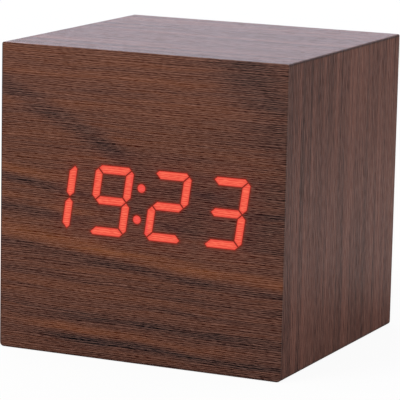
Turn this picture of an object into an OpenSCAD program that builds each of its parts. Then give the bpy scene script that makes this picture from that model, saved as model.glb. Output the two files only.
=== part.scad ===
// Wooden digital alarm clock: a small veneered box with a red display behind its front film.
// Millimetres. The origin is on the table, under the middle of the box. The front faces -Y, and +Z is up.

/* [Case] */
// Width of the box, left to right
case_w = 63; // [62:0.5:90]
// Depth of the box, front to back
case_d = 60; // [54:0.5:90]
// Height of the box
case_h = 63; // [63:0.5:90]
// Thickness of the four boards that fold into the sleeve
board_t = 4; // [3:0.1:4.2]
// Radius of the two upper long edges of the sleeve
top_edge_r = 0.4; // [0.2:0.1:1]
// Radius of the two lower long edges of the sleeve
bottom_edge_r = 0.9; // [0.3:0.1:1.5]
// Chamfer round the back end of the sleeve
rear_edge_cut = 0.6; // [0.2:0.1:1]
// Thickness of the wood film on the front
film_t = 0.4; // [0.3:0.05:0.8]
// Chamfer that eases the front film's edges
film_edge_cut = 0.25; // [0.05:0.05:0.3]
// Thickness of the board behind the front film
front_board_t = 3; // [2:0.5:5]

/* [Display] */
// Hours and minutes that are lit
shown_time = [1, 9, 2, 3]; // [0:1:9]
// Height of the display's middle above the table
display_z = 32.7; // [28:0.1:35]
// Plain margin of the display module beside its outer digits
display_side = 1.85; // [1.4:0.05:2.5]
// Plain margin of the display module over and under its digits
display_end = 2.4; // [1.6:0.1:4]
// Depth of the display module
display_t = 8; // [7:0.5:10]
// Height of a digit over its outer edges
digit_h = 14.2; // [12:0.1:15]
// Width of a digit over its outer edges
digit_w = 8.5; // [7:0.1:9]
// Distance from one digit to the next
digit_pitch = 12.7; // [12:0.1:13.4]
// Width of one segment
segment_w = 1.6; // [1:0.1:2]
// Gap between two segments
segment_gap = 0.25; // [0.1:0.05:0.5]
// How far the outer corners of a digit are cut back
corner_cut = 1.25; // [0.5:0.05:1.5]
// Slant of the digits, in degrees
segment_slant = 8; // [0:1:10]
// Diameter of a colon dot
colon_d = 1.7; // [1:0.1:2]
// Distance between the two colon dots
colon_spread = 6.4; // [4:0.1:8]
// Gap round the display in its window
window_gap = 0.3; // [0.1:0.05:0.6]

/* [Rear cover] */
// How far the cover lies inside the back end of the sleeve
cover_recess = 1.4; // [1.2:0.1:3]
// Thickness of the cover plate
cover_t = 2.4; // [2.2:0.1:3]
// Gap between the cover plate and the sleeve
cover_gap = 0.2; // [0.1:0.05:0.4]
// Side of a corner block that the cover is screwed to
block_side = 8; // [7:0.5:8.5]
// Length of a corner block
block_l = 14; // [9:1:20]
// Shank diameter of a cover screw
screw_d = 2.2; // [1.8:0.1:2.6]
// Length of a cover screw under its head
screw_l = 7; // [5:0.5:8]
// Head diameter of a cover screw
screw_head_d = 4; // [3.4:0.1:4.6]
// Head thickness of a cover screw
screw_head_t = 1.2; // [0.8:0.1:1.4]

/* [Battery bay] */
// Diameter of a battery cell
cell_d = 10.5; // [10:0.1:10.5]
// Length of a battery cell over its positive nub
cell_l = 44.5; // [43:0.1:44.5]
// Gap between two neighbouring cells
cell_between = 0.4; // [0.3:0.05:0.6]
// Wall thickness of the battery bay
bay_wall = 1.2; // [1:0.1:1.3]
// Room for a compressed contact spring
spring_room = 3.8; // [3.6:0.1:4]
// Sheet thickness of the battery contacts
contact_t = 0.3; // [0.2:0.05:0.4]
// Wire diameter of the contact springs
spring_wire_d = 0.5; // [0.4:0.05:0.55]
// Turns of a contact spring
spring_turns = 3; // [2:0.5:3.5]
// Thickness of the battery door
door_t = 2; // [1.8:0.1:2.1]
// How far the door laps over the bay's opening
door_lap = 0.8; // [0.6:0.1:0.8]
// Gap round the door
door_gap = 0.25; // [0.2:0.05:0.3]
// Diameter of the door's hinge pins
hinge_pin_d = 1; // [0.8:0.1:1.1]

/* [Buttons] */
// Diameter of a button cap
button_d = 4.8; // [4:0.1:5]
// Distance from one button to the next
button_pitch = 7; // [6.4:0.1:7.7]
// How far a button stands out of the cover
button_proud = 1; // [0.5:0.1:1.1]
// Travel of a button
button_travel = 0.3; // [0.2:0.05:0.35]
// Gap round a button in its hole
button_gap = 0.2; // [0.15:0.05:0.25]
// Distance from the inside of the top board down to the row of buttons
button_drop = 5.8; // [5.4:0.1:6]
// Diameter of the hole for the power plug
inlet_d = 5.2; // [4.6:0.1:6]

/* [Hidden] */
$fn = 48;
over = 1;

// Case
front_y = -case_d / 2;
rear_y = case_d / 2;
film_back_y = front_y + film_t;
front_board_back_y = film_back_y + front_board_t;
inner_w = case_w - 2 * board_t;
inner_h = case_h - 2 * board_t;
inner_top_z = case_h - board_t;

// Display and main board
digit_count = 4;
digit_x = [for (i = [0:digit_count - 1]) (i - (digit_count - 1) / 2) * digit_pitch];
display_w = (digit_count - 1) * digit_pitch + digit_w + 2 * display_side;
display_h = digit_h + 2 * display_end;
display_back_y = film_back_y + display_t;
substrate_t = 1.2;
led_side = 0.6;
led_t = 0.3;
led_gap = 0.3;
cavity_t = display_t - substrate_t;
window_rim = 1;
pin_d = 0.5;
pin_pitch = 2.54;
pin_inset = 1.88;
pin_rows = display_h - 2 * pin_inset;
pin_count = 6;
pin_l = 3.1;
main_side_inset = 0.15;
main_end_gap = 4.5;
main_w = display_w - 2 * main_side_inset;
main_h = inner_h - 2 * main_end_gap;
main_t = 1.6;
main_corner_r = 1;
main_rear_y = display_back_y + main_t;
main_hole_inset = 3.5;
main_hole_x = main_w / 2 - main_hole_inset;
main_hole_z = main_h / 2 - main_hole_inset;
spacer_d = 5;
board_screw_d = 2;
board_screw_head_d = 3.8;
board_screw_head_t = 1.3;
board_screw_bite = 1.8;
hole_gap = 0.15;

// Parts on the back of the main board
chip_size = [18, 7.6, 2.3];
chip_lead_pitch = 1.27;
chip_lead_count = 14;
chip_lead_w = 0.4;
chip_lead_reach = 1.4;
chip_lead_t = 0.2;
crystal_d = 2.1;
crystal_l = 6.2;
crystal_foot = [5, 1.6];
crystal_at = [-17, 0];
buzzer_d = 12;
buzzer_t = 8.5;
buzzer_at = [12.5, -14.5];
buzzer_hole_d = 2;
buzzer_hole_l = 2;
capacitor_d = 6.3;
capacitor_l = 7.7;
capacitor_at = [13.5, 15.5];
header_size = [13.4, 4.6, 5.8];
header_at = [2, 15.5];
header_wall = 0.8;
transistor_size = [2.9, 1.3, 1];
transistor_count = 4;
transistor_at = [-17.5, -12.5];
resistor_size = [2, 1.25, 0.55];
resistor_count = 4;
resistor_at = [-20, 11];
part_pitch = 4;

// Rear cover
cover_y = rear_y - cover_recess;
cover_back_y = cover_y - cover_t;
cover_w = inner_w - 2 * cover_gap;
cover_h = inner_h - 2 * cover_gap;
cover_corner_r = 1;
screw_x = inner_w / 2 - block_side / 2;
screw_z = [board_t + block_side / 2, inner_top_z - block_side / 2];
screw_head_gap = 0.1;
screw_sink = screw_head_t + screw_head_gap;
recess_w = 0.5;
recess_depth = 0.7;
recess_rim = 0.75;

// Battery bay
cell_count = 3;
cell_gap = 0.15;
cell_door_gap = 0.2;
cell_pitch = cell_d + cell_between;
cell_step = 0.2;
cell_bevel = 0.4;
cell_rim = 1;
ridge_drop = 2;
cell_nub_d = 3.8;
cell_nub_l = 1;
bay_l = cell_l + spring_room + 2 * contact_t;
bay_h = (cell_count - 1) * cell_pitch + cell_d + 2 * cell_gap;
bay_bottom_z = board_t + block_side + cover_gap + bay_wall;
bay_mid_z = bay_bottom_z + bay_h / 2;
bay_w_out = bay_l + 2 * bay_wall;
bay_h_out = bay_h + 2 * bay_wall;
door_back_y = cover_y - door_t;
cell_y = door_back_y - cell_door_gap - cell_d / 2;
trough_r = cell_d / 2 + cell_gap;
bay_floor_y = cell_y - trough_r;
bay_back_y = bay_floor_y - bay_wall;
contact_side = 9;
contact_slack = 0.1;
tail_w = 2.4;
tail_l = 3;
tail_gap = 0.2;
spring_base_r = 3.6;
spring_tip_r = 1.8;
spring_rings = 8;
spring_sides = 6;
spring_tip_gap = 0.1;
spring_bend = 0.3;
cell_z = [for (i = [0:cell_count - 1]) bay_mid_z + (1 - i) * cell_pitch];
// +1 where a cell's positive nub points to +X
cell_way = [1, -1, 1];
contact_x = bay_l / 2 - contact_t;
// End wall and cell of each contact with a solder tail
tails = [[1, 0], [-1, 2]];
tail_mid_y = bay_back_y - tail_l / 2;

// Battery door
door_w = bay_l + 2 * door_lap;
door_bottom_z = bay_bottom_z - door_lap;
door_top_z = bay_bottom_z + bay_h + door_lap;
hinge_r = door_t / 2;
hinge_y = cover_y - hinge_r;
hinge_z = door_bottom_z + hinge_r;
hinge_pin_l = 1;
hinge_fit = 0.06;
hinge_hole_d = hinge_pin_d + 2 * hinge_fit;
seat_gap = 0.1;
tongue_w = 10;
tongue_l = 9;
tongue_slit = 0.8;
snap_bump = 0.15;
snap_w = 6;
grip_ribs = 4;
grip_pitch = 1.6;
grip_rib_w = 0.7;
grip_rib_h = 0.35;
grip_margin = 1;
notch_w = 12;
notch_h = 1.2;
notch_t = 0.6;
groove_h = 0.3;

// Buttons, their board and the power inlet
button_z = inner_top_z - button_drop;
button_row_x = 4;
button_x = [for (i = [0:2]) button_row_x + (1 - i) * button_pitch];
flange_rim = 0.6;
flange_d = button_d + 2 * flange_rim;
flange_t = 0.8;
flange_gap = 0.1;
cap_back_y = cover_back_y - flange_gap - flange_t;
cap_dish = 0.25;
cap_edge_cut = 0.3;
switch_side = 6;
switch_t = 3.4;
switch_stem_t = 5;
switch_base_t = 0.5;
stem_d = 3.5;
stem_gap = 0.1;
stem_room = button_travel + stem_gap;
panel_y = cap_back_y - switch_stem_t;
panel_t = 1.4;
panel_gap = 0.3;
panel_w = inner_w - 2 * block_side - 2 * panel_gap;
panel_h = 9.6;
panel_back_y = panel_y - panel_t;
panel_boss_d = 4.2;
panel_boss_inset = 0.1;
panel_boss_x = (panel_w - panel_boss_d) / 2 - panel_boss_inset;
panel_screw_l = 5;
inlet_step = 7;
inlet_x = button_x[2] - inlet_step;
jack_w = 6.6;
jack_l = 11;
jack_bore_d = 3.7;
jack_bore_l = 9.6;
jack_pin_d = 1.3;
jack_pin_inset = 1;
jack_notch_gap = 0.2;
microphone_x = -8;
microphone_z = board_t + block_side / 2;
microphone_d = 4.5;
microphone_t = 3;
microphone_gap = 0.1;
microphone_hole_d = 1.2;
sound_slot_x = 8;
sound_slot_pitch = 2.6;
sound_slot_count = 5;
sound_slot_size = [1.2, 4.6];
thermistor_x = 13.5;
thermistor_d = 2.2;
thermistor_l = 4;

// Leads: routes from the contact tails, the microphone and the main board to the button board
lead_d = 1.2;
lead_sides = 8;
lead_steps = 4;
red_end_x = 10.5;
black_end_x = -4;
microphone_end_x = 8.2;
lead_gap = 0.1;
lead_stub = 1.5;
lead_drop = 2;
lead_y = bay_back_y - lead_drop;
lead_end_y = panel_back_y - lead_gap;
lead_turn_y = panel_back_y - 2 * lead_stub;
red_start_x = contact_x - lead_gap;
red_route = [[red_start_x, tail_mid_y, cell_z[0]], [red_start_x - lead_stub, tail_mid_y, cell_z[0]],
    [19, lead_y, 44], [15.5, lead_y, 48], [12, lead_y + 1, 51.5],
    [red_end_x, lead_turn_y, button_z], [red_end_x, lead_end_y, button_z]];
black_start_x = lead_gap - contact_x;
black_route = [[black_start_x, tail_mid_y, cell_z[2]], [black_start_x + lead_stub, tail_mid_y, cell_z[2]],
    [-20.5, lead_y - 1, 24], [-20.5, lead_y - 1, 32], [-18.5, lead_y - 1, 42], [-12, lead_y - 1, 49],
    [-6, lead_y, 52.5], [black_end_x, lead_turn_y, button_z], [black_end_x, lead_end_y, button_z]];
microphone_start_y = cover_back_y - microphone_t - lead_gap;
microphone_route = [[microphone_x, microphone_start_y, microphone_z],
    [microphone_x, microphone_start_y - 2 * lead_stub, microphone_z], [-7.5, lead_y, 11],
    [-4, lead_y - 2, 20], [4, lead_y - 2, 34], [8, lead_y - 2, 45], [microphone_end_x, lead_y, 51],
    [microphone_end_x, lead_turn_y, button_z], [microphone_end_x, lead_end_y, button_z]];
ribbon_w = 7;
ribbon_t = 0.9;
ribbon_steps = 6;
ribbon_straight = 6;
plug_t = 4;
plug_gap = 0.1;
plug_proud = 1.2;
ribbon_start = [main_rear_y + header_size[2] + plug_proud, display_z + header_at[1]];
ribbon_route = [ribbon_start, ribbon_start + [ribbon_straight, 0],
    [lead_end_y - ribbon_straight, button_z], [lead_end_y, button_z]];

// Helpers that place a flat shape or a rod along an axis
module along_y(y0, y1) {
    translate([0, y1, 0]) rotate([90, 0, 0]) linear_extrude(y1 - y0) children();
}

module along_x(x0, x1) {
    translate([x0, 0, 0]) rotate([90, 0, 90]) linear_extrude(x1 - x0) children();
}

module rod_y(d, y0, y1) {
    translate([0, y0, 0]) rotate([-90, 0, 0]) cylinder(d = d, h = y1 - y0);
}

module rod_x(d, x0, x1) {
    translate([x0, 0, 0]) rotate([0, 90, 0]) cylinder(d = d, h = x1 - x0);
}

module block_y(size, y0, y1) {
    along_y(y0, y1) square(size, center = true);
}

// What is cut off a square corner at the origin to leave a radius; the material lies towards -X and -Y
module corner_waste(r) {
    translate([-r, -r]) difference() {
        square(r + over);
        circle(r);
    }
}

module round_rect(w, h, r) {
    difference() {
        square([w, h], center = true);
        for (sx = [0, 1], sy = [0, 1])
            mirror([sx, 0]) mirror([0, sy]) translate([w / 2, h / 2]) corner_waste(r);
    }
}

// A closed tube along a path of points. Each point has a side direction that the path doesn't run along.
function unit(v) = v / norm(v);
function tangent(path, i) = unit(path[min(i + 1, len(path) - 1)] - path[max(i - 1, 0)]);
function tube_ring(p, t, side, r, sides) =
    let (n = unit(side - (side * t) * t), b = cross(t, n))
    [for (j = [0:sides - 1]) p + r * (cos(360 * j / sides) * n + sin(360 * j / sides) * b)];
module tube_along(path, side_ways, d, sides) {
    rings = len(path);
    points = [for (i = [0:rings - 1]) each tube_ring(path[i], tangent(path, i), side_ways[i], d / 2, sides)];
    walls = [for (i = [0:rings - 2], j = [0:sides - 1])
        let (a = i * sides + j, b = i * sides + (j + 1) % sides)
        each [[a, a + sides, b], [b, a + sides, b + sides]]];
    ends = [for (j = [1:sides - 2]) each [[0, j, j + 1],
        [(rings - 1) * sides, (rings - 1) * sides + j + 1, (rings - 1) * sides + j]]];
    polyhedron(points, concat(walls, ends));
}

// A smooth curve through hand-picked points
function curve_point(a, b, c, d, t) =
    0.5 * (2 * b + (c - a) * t + (2 * a - 5 * b + 4 * c - d) * t * t + (3 * b - a - 3 * c + d) * t * t * t);
function smooth(points, steps) = let (n = len(points)) concat(
    [for (i = [0:n - 2], s = [0:steps - 1]) curve_point(points[max(i - 1, 0)], points[i],
        points[i + 1], points[min(i + 2, n - 1)], s / steps)], [points[n - 1]]);

// Case: a folded sleeve of four mitred boards, a front board and the wood film over the front
module case_profile() {
    translate([0, case_h / 2]) difference() {
        square([case_w, case_h], center = true);
        for (sx = [0, 1]) mirror([sx, 0]) {
            translate([case_w / 2, case_h / 2]) corner_waste(top_edge_r);
            mirror([0, 1]) translate([case_w / 2, case_h / 2]) corner_waste(bottom_edge_r);
        }
    }
}

// A long three-sided bar whose hypotenuse cuts an edge along X or Z back by the given amount
module edge_waste(cut, l) {
    rotate([0, 0, 45]) cube([cut * sqrt(2), cut * sqrt(2), l], center = true);
}

module end_waste(y, cut) {
    for (sx = [-1, 1]) translate([sx * case_w / 2, y, case_h / 2]) edge_waste(cut, case_h + over);
    for (z = [0, case_h]) translate([0, y, z]) rotate([0, 90, 0]) edge_waste(cut, case_w + over);
}

module sleeve_board(outline) {
    color("#5d4034") difference() {
        along_y(film_back_y, rear_y) intersection() {
            case_profile();
            polygon(outline);
        }
        end_waste(rear_y, rear_edge_cut);
    }
}

function sleeve_corner(sx, top, inset) = [sx * (case_w / 2 - inset), top == 1 ? case_h - inset : inset];

module top_board() {
    sleeve_board([sleeve_corner(-1, 1, 0), sleeve_corner(1, 1, 0),
        sleeve_corner(1, 1, board_t), sleeve_corner(-1, 1, board_t)]);
}

module bottom_board() {
    sleeve_board([sleeve_corner(-1, 0, 0), sleeve_corner(1, 0, 0),
        sleeve_corner(1, 0, board_t), sleeve_corner(-1, 0, board_t)]);
}

module side_board(sx) {
    sleeve_board([sleeve_corner(sx, 0, 0), sleeve_corner(sx, 1, 0),
        sleeve_corner(sx, 1, board_t), sleeve_corner(sx, 0, board_t)]);
}

module left_board() {
    side_board(-1);
}

module right_board() {
    side_board(1);
}

module front_film() {
    color("#5a3a2d") difference() {
        along_y(front_y, film_back_y) case_profile();
        end_waste(front_y, film_edge_cut);
        along_y(front_y - over, film_back_y + over) lit_outlines();
    }
}

module front_board() {
    color("#8a6a4c") difference() {
        along_y(film_back_y, front_board_back_y) translate([0, case_h / 2])
            square([inner_w, inner_h], center = true);
        translate([0, 0, display_z])
            block_y([display_w + 2 * window_gap, display_h + 2 * window_gap], front_y, 0);
        at_main_holes() rod_y(board_screw_d + 2 * hole_gap, front_board_back_y - board_screw_bite, 0);
    }
}

module corner_blocks() {
    color("#b08d62") for (sx = [-1, 1], z = screw_z) translate([sx * screw_x, 0, z]) difference() {
        block_y([block_side, block_side], cover_back_y - block_l, cover_back_y);
        rod_y(screw_d + 2 * hole_gap, cover_y - screw_sink - screw_l - hole_gap, rear_y);
    }
}

// Display: slanted digits made of seven segments, lettered a to g clockwise from the top
function slanted(p) = [p[0] + p[1] * tan(segment_slant), p[1]];
function flipped(points, fx, fz) = [for (p = points) [p[0] * fx, p[1] * fz]];

half_w = digit_w / 2;
half_h = digit_h / 2;
mitre = segment_gap / sqrt(2);
bar = [[-half_w + corner_cut, half_h], [half_w - corner_cut, half_h],
    [half_w - (corner_cut + mitre) / 2, half_h - (corner_cut - mitre) / 2],
    [half_w - segment_w - mitre, half_h - segment_w], [-half_w + segment_w + mitre, half_h - segment_w],
    [-half_w + (corner_cut + mitre) / 2, half_h - (corner_cut - mitre) / 2]];
post = [[half_w, segment_w / 2 + mitre], [half_w, half_h - corner_cut],
    [half_w - (corner_cut - mitre) / 2, half_h - (corner_cut + mitre) / 2],
    [half_w - segment_w, half_h - segment_w - mitre], [half_w - segment_w, segment_w / 2 + mitre],
    [half_w - segment_w / 2, mitre]];
middle_tip = half_w - segment_w / 2 - mitre;
middle_bar = [[-middle_tip, 0], [-middle_tip + segment_w / 2, segment_w / 2],
    [middle_tip - segment_w / 2, segment_w / 2], [middle_tip, 0],
    [middle_tip - segment_w / 2, -segment_w / 2], [-middle_tip + segment_w / 2, -segment_w / 2]];
segment_shapes = [bar, post, flipped(post, 1, -1), flipped(bar, 1, -1), flipped(post, -1, -1),
    flipped(post, -1, 1), middle_bar];
segment_letters = "abcdefg";
letters_of = ["abcdef", "bc", "abdeg", "abcdg", "bcfg", "acdfg", "acdefg", "abc", "abcdefg", "abcdfg"];
function is_lit(digit, segment) = len(search(segment_letters[segment], letters_of[digit])) > 0;
function middle_of(points) = [for (k = [0, 1])
    let (values = [for (p = points) p[k]]) (min(values) + max(values)) / 2];

module segment_outline(segment) {
    polygon([for (p = segment_shapes[segment]) slanted(p)]);
}

module colon_outline() {
    for (s = [-1, 1]) translate(slanted([0, s * colon_spread / 2])) circle(d = colon_d);
}

module lit_outlines() {
    translate([0, display_z]) {
        for (i = [0:digit_count - 1], s = [0:6]) if (is_lit(shown_time[i], s))
            translate([digit_x[i], 0]) segment_outline(s);
        colon_outline();
    }
}

module all_outlines() {
    translate([0, display_z]) {
        for (x = digit_x, s = [0:6]) translate([x, 0]) segment_outline(s);
        colon_outline();
    }
}

module lit_segments() {
    color("#ff5a3c") along_y(front_y, film_back_y) lit_outlines();
}

module display_housing() {
    color("#22252a") difference() {
        translate([0, 0, display_z]) block_y([display_w, display_h], film_back_y, display_back_y);
        along_y(film_back_y - over, display_back_y) all_outlines();
        translate([0, 0, display_z]) block_y([display_w - 2 * window_rim, display_h - 2 * window_rim],
            film_back_y + cavity_t, display_back_y + over);
    }
}

module display_substrate() {
    color("#2f4a38") translate([0, 0, display_z]) difference() {
        block_y([display_w - 2 * window_rim, display_h - 2 * window_rim],
            film_back_y + cavity_t, display_back_y);
        at_display_pins() rod_y(pin_d + 2 * hole_gap, film_back_y, main_rear_y);
    }
}

module display_segments() {
    color("#e8d9d0") along_y(film_back_y, film_back_y + cavity_t - led_t - led_gap) all_outlines();
}

module led_chips() {
    color("#f2c9a0") translate([0, film_back_y + cavity_t - led_t, display_z]) {
        for (x = digit_x, s = [0:6]) let (p = slanted(middle_of(segment_shapes[s])))
            translate([x + p[0] - led_side / 2, 0, p[1] - led_side / 2]) cube([led_side, led_t, led_side]);
        for (s = [-1, 1]) let (p = slanted([0, s * colon_spread / 2]))
            translate([p[0] - led_side / 2, 0, p[1] - led_side / 2]) cube([led_side, led_t, led_side]);
    }
}

module at_display_pins() {
    for (i = [0:pin_count - 1], s = [-1, 1])
        translate([(i - (pin_count - 1) / 2) * pin_pitch, 0, s * pin_rows / 2]) children();
}

module display_pins() {
    color("#c9ccd0") translate([0, 0, display_z]) at_display_pins()
        rod_y(pin_d, film_back_y + cavity_t, display_back_y + pin_l);
}

// Main board, held off the front board by spacers
module at_main_holes() {
    for (sx = [-1, 1], sz = [-1, 1])
        translate([sx * main_hole_x, 0, display_z + sz * main_hole_z]) children();
}

module main_board() {
    color("#1f5b3a") difference() {
        along_y(display_back_y, main_rear_y) translate([0, display_z])
            round_rect(main_w, main_h, main_corner_r);
        at_main_holes() rod_y(board_screw_d + 2 * hole_gap, display_back_y - over, main_rear_y + over);
        translate([0, 0, display_z]) at_display_pins()
            rod_y(pin_d + 2 * hole_gap, display_back_y - over, main_rear_y + over);
    }
}

module board_spacers() {
    color("#e6e2d8") at_main_holes() difference() {
        rod_y(spacer_d, front_board_back_y, display_back_y);
        rod_y(board_screw_d + 2 * hole_gap, front_board_back_y - over, display_back_y + over);
    }
}

// A screw whose head lies on the plane y = 0, with its shank towards -Y
module cross_screw(d, l, head_d, head_t) {
    difference() {
        union() {
            rod_y(head_d, 0, head_t);
            rod_y(d, -l, over / 2);
        }
        for (a = [0, 90]) rotate([0, a, 0]) translate([0, head_t, 0])
            cube([head_d - 2 * recess_rim, 2 * recess_depth, recess_w], center = true);
    }
}

module board_screws() {
    color("#b9bcc0") at_main_holes() translate([0, main_rear_y, 0])
        cross_screw(board_screw_d, main_rear_y - front_board_back_y + board_screw_bite - hole_gap,
            board_screw_head_d, board_screw_head_t);
}

module on_main_board(at) {
    translate([at[0], main_rear_y, display_z + at[1]]) children();
}

module clock_chip() {
    translate([0, main_rear_y, display_z]) {
        color("#26282b") block_y([chip_size[0], chip_size[1]], chip_lead_t, chip_size[2]);
        color("#c9ccd0") for (i = [0:chip_lead_count - 1], s = [-1, 1])
            translate([(i - (chip_lead_count - 1) / 2) * chip_lead_pitch,
                0, s * (chip_size[1] / 2 + chip_lead_reach / 2 - chip_lead_t)])
                block_y([chip_lead_w, chip_lead_reach + 2 * chip_lead_t], 0, 2 * chip_lead_t);
    }
}

module crystal_can() {
    color("#c4c6c8") on_main_board(crystal_at) translate([0, crystal_d / 2, 0]) {
        rod_x(crystal_d, -crystal_l / 2, crystal_l / 2);
        block_y(crystal_foot, -crystal_d / 2, 0);
    }
}

module buzzer() {
    color("#1c1c1e") on_main_board(buzzer_at) difference() {
        rod_y(buzzer_d, 0, buzzer_t);
        rod_y(buzzer_hole_d, buzzer_t - buzzer_hole_l, buzzer_t + over);
    }
}

module capacitor() {
    color("#2b3550") on_main_board(capacitor_at) difference() {
        rod_y(capacitor_d, 0, capacitor_l);
        for (a = [0, 90]) rotate([0, a, 0]) translate([0, capacitor_l, 0])
            cube([capacitor_d - 2 * recess_rim, recess_w, recess_w / 2], center = true);
    }
}

module ribbon_header() {
    color("#efe9dc") on_main_board(header_at) difference() {
        block_y([header_size[0], header_size[1]], 0, header_size[2]);
        block_y([header_size[0] - 2 * header_wall, header_size[1] - 2 * header_wall],
            header_size[2] - plug_t, header_size[2] + over);
    }
}

module part_row(at, count, size) {
    on_main_board(at) for (i = [0:count - 1]) translate([i * part_pitch, 0, 0])
        block_y([size[0], size[1]], 0, size[2]);
}

module driver_transistors() {
    color("#2a2b2e") part_row(transistor_at, transistor_count, transistor_size);
}

module segment_resistors() {
    color("#3a3d44") part_row(resistor_at, resistor_count, resistor_size);
}

// Rear cover with the battery bay moulded into it
module at_cover_screws() {
    for (sx = [-1, 1], z = screw_z) translate([sx * screw_x, 0, z]) children();
}

module at_panel_bosses() {
    for (sx = [-1, 1]) translate([sx * panel_boss_x, 0, button_z]) children();
}

module at_microphone() {
    translate([microphone_x, 0, microphone_z]) children();
}

module cell_troughs() {
    for (z = cell_z) translate([0, cell_y, z]) rod_x(2 * trough_r, -bay_l / 2, bay_l / 2);
    translate([0, 0, bay_mid_z]) block_y([bay_l, bay_h], cell_y - ridge_drop, rear_y);
}

module contact_slots() {
    for (sx = [-1, 1]) translate([sx * (bay_l - contact_t - contact_slack) / 2, 0, bay_mid_z])
        block_y([contact_t + contact_slack, bay_h], bay_floor_y, rear_y);
    for (t = tails) translate([t[0] * (contact_x + contact_t / 2), 0, cell_z[t[1]]])
        block_y([contact_t + tail_gap, tail_w + tail_gap], bay_back_y - over, cell_y);
}

module door_seat() {
    seat_w = door_w + 2 * door_gap;
    along_y(door_back_y - seat_gap, rear_y) translate([-seat_w / 2, door_bottom_z - door_gap])
        square([seat_w, door_top_z - door_bottom_z + 2 * door_gap]);
    translate([0, hinge_y, hinge_z]) rod_x(hinge_hole_d, -seat_w / 2 - hinge_pin_l, seat_w / 2 + hinge_pin_l);
    translate([0, 0, door_top_z + door_gap]) {
        block_y([notch_w, 2 * notch_h], cover_y - notch_t, rear_y);
        block_y([tongue_w, 2 * groove_h], door_back_y, hinge_y + seat_gap);
    }
}

module cover_holes() {
    at_cover_screws() {
        rod_y(screw_d + 4 * hole_gap, 0, rear_y);
        rod_y(screw_head_d + 4 * hole_gap, cover_y - screw_sink, rear_y);
    }
    for (x = button_x) translate([x, 0, button_z]) rod_y(button_d + 2 * button_gap, 0, rear_y);
    translate([inlet_x, 0, button_z]) rod_y(inlet_d, 0, rear_y);
    at_microphone() rod_y(microphone_hole_d, 0, rear_y);
    for (i = [0:sound_slot_count - 1])
        translate([sound_slot_x + (i - (sound_slot_count - 1) / 2) * sound_slot_pitch, 0, microphone_z])
            block_y(sound_slot_size, 0, rear_y);
}

module rear_cover() {
    color("#1b1b1d") difference() {
        union() {
            along_y(cover_back_y, cover_y) translate([0, case_h / 2])
                round_rect(cover_w, cover_h, cover_corner_r);
            translate([0, 0, bay_mid_z]) block_y([bay_w_out, bay_h_out], bay_back_y, cover_back_y + over);
            at_panel_bosses() rod_y(panel_boss_d, panel_y, cover_back_y + over);
            at_microphone()
                rod_y(microphone_d + 2 * bay_wall, cover_back_y - microphone_t, cover_back_y + over);
        }
        cell_troughs();
        contact_slots();
        door_seat();
        cover_holes();
        at_panel_bosses() rod_y(board_screw_d + 2 * hole_gap, panel_y - over, cover_back_y);
        at_microphone() rod_y(microphone_d + 2 * microphone_gap, 0, cover_back_y);
    }
}

module cover_screws() {
    color("#b9bcc0") at_cover_screws() translate([0, cover_y - screw_sink, 0])
        cross_screw(screw_d, screw_l, screw_head_d, screw_head_t);
}

// Battery door: it turns on two pins at its lower edge, and a springy tongue holds its upper edge
module battery_door() {
    color("#1f1f21") difference() {
        union() {
            along_x(-door_w / 2, door_w / 2) translate([hinge_y, hinge_z]) {
                circle(hinge_r);
                translate([-hinge_r, 0]) square([door_t, door_top_z - hinge_z]);
            }
            translate([0, hinge_y, hinge_z])
                rod_x(hinge_pin_d, -door_w / 2 - hinge_pin_l, door_w / 2 + hinge_pin_l);
            translate([0, 0, door_top_z]) block_y([snap_w, 2 * snap_bump], door_back_y + door_t / 4, hinge_y);
            for (i = [0:grip_ribs - 1])
                translate([0, 0, door_top_z - (i + 1) * grip_pitch])
                    block_y([tongue_w - 2 * grip_margin, grip_rib_w], hinge_y, cover_y + grip_rib_h);
        }
        for (sx = [-1, 1]) translate([sx * (tongue_w + tongue_slit) / 2, 0, door_top_z])
            block_y([tongue_slit, 2 * tongue_l], door_back_y - over, rear_y);
    }
}

// Battery cells and their contacts, wired in series
module battery_cell(i) {
    r = cell_d / 2;
    end_r = r - cell_rim;
    crimp_r = end_r + cell_step;
    land_r = r - cell_bevel;
    edge_l = cell_step + cell_bevel;
    barrel_l = cell_l - cell_nub_l;
    color("#46596b") translate([cell_way[i] * contact_x, cell_y, cell_z[i]])
        rotate([0, 90 * cell_way[i], 0]) translate([0, 0, -cell_l]) rotate_extrude() polygon([
            [0, 0], [end_r, 0], [crimp_r, cell_step], [land_r, cell_step], [r, edge_l],
            [r, barrel_l - edge_l], [land_r, barrel_l - cell_step], [crimp_r, barrel_l - cell_step],
            [end_r, barrel_l], [cell_nub_d / 2, barrel_l], [cell_nub_d / 2, cell_l], [0, cell_l]]);
}

module top_cell() {
    battery_cell(0);
}

module middle_cell() {
    battery_cell(1);
}

module bottom_cell() {
    battery_cell(2);
}

// The coil of a spring that stands on a plate in the plane x = 0 and narrows towards +X
spring_l = spring_room - spring_tip_gap;
spring_steps = spring_turns * spring_rings;
spring_foot_l = spring_wire_d + spring_bend;
spring_angles = [for (i = [0:spring_steps]) 360 * i / spring_rings];
spring_path = concat([[-contact_t / 2, spring_base_r, 0], [spring_wire_d, spring_base_r, 0]],
    [for (i = [0:spring_steps]) let (share = i / spring_steps, a = spring_angles[i],
        r = spring_base_r + (spring_tip_r - spring_base_r) * share)
    [spring_foot_l + (spring_l - spring_foot_l - spring_wire_d / 2) * share, r * cos(a), r * sin(a)]]);
spring_sideways = [for (a = concat([0, 0], spring_angles)) [0, cos(a), sin(a)]];
spring_gaps = [for (i = [0:len(spring_path) - 1], j = [0:len(spring_path) - 1])
    if (j - i >= spring_rings / 2) norm(spring_path[j] - spring_path[i]) - spring_wire_d];
echo(least_gap_in_a_spring = min(spring_gaps));

module contact_spring() {
    tube_along(spring_path, spring_sideways, spring_wire_d, spring_sides);
}

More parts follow.
